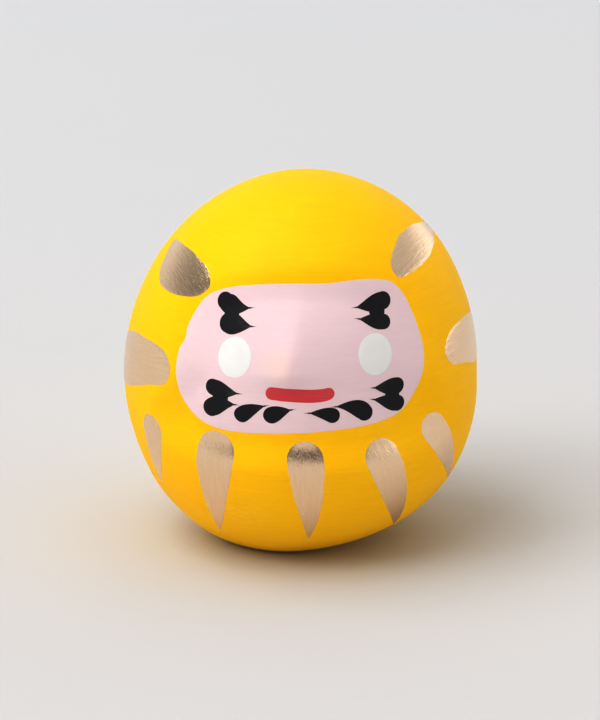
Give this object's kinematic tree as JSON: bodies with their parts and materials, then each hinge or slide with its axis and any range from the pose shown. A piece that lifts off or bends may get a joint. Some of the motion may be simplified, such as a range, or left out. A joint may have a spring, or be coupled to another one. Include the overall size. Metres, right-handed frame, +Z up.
{
  "type": "daruma doll",
  "caption": "Small round hand-painted papier-mache daruma doll with blank eyes, brush-stroke brows and beard, gold strokes and a clay-weighted flat base.",
  "frame": {"origin": "on the surface the doll stands on, at the middle of its bounding box", "axes": "+Z up, the face looks along -Y, +X towards the doll's left hand"},
  "size_m": [0.0581, 0.0563, 0.0602],
  "materials": {
    "yellow_paint": "satin",
    "pink_paint": "matte",
    "black_paint": "satin",
    "white_paint": "satin",
    "red_paint": "satin",
    "gold_foil": "satin",
    "clay": "matte",
    "washi_paper": "matte"
  },
  "bodies": {
    "root": {"front_shell": "yellow_paint", "back_shell": "yellow_paint", "seam_strip": "washi_paper", "clay_weight": "clay", "base_paper": "washi_paper", "face_panel": "pink_paint", "eye_left": "white_paint", "eye_right": "white_paint", "brow_left": "black_paint", "brow_right": "black_paint", "cheek_beard_left": "black_paint", "cheek_beard_right": "black_paint", "chin_stroke_left_outer": "black_paint", "chin_stroke_left_inner": "black_paint", "chin_stroke_right_inner": "black_paint", "chin_stroke_right_outer": "black_paint", "mouth": "red_paint", "gold_stroke_belly_left_far": "gold_foil", "gold_stroke_belly_left": "gold_foil", "gold_stroke_belly_centre": "gold_foil", "gold_stroke_belly_right": "gold_foil", "gold_stroke_belly_right_far": "gold_foil", "gold_stroke_brow_left": "gold_foil", "gold_stroke_brow_right": "gold_foil", "gold_stroke_cheek_left": "gold_foil", "gold_stroke_cheek_right": "gold_foil"}
  },
  "joints": []
}
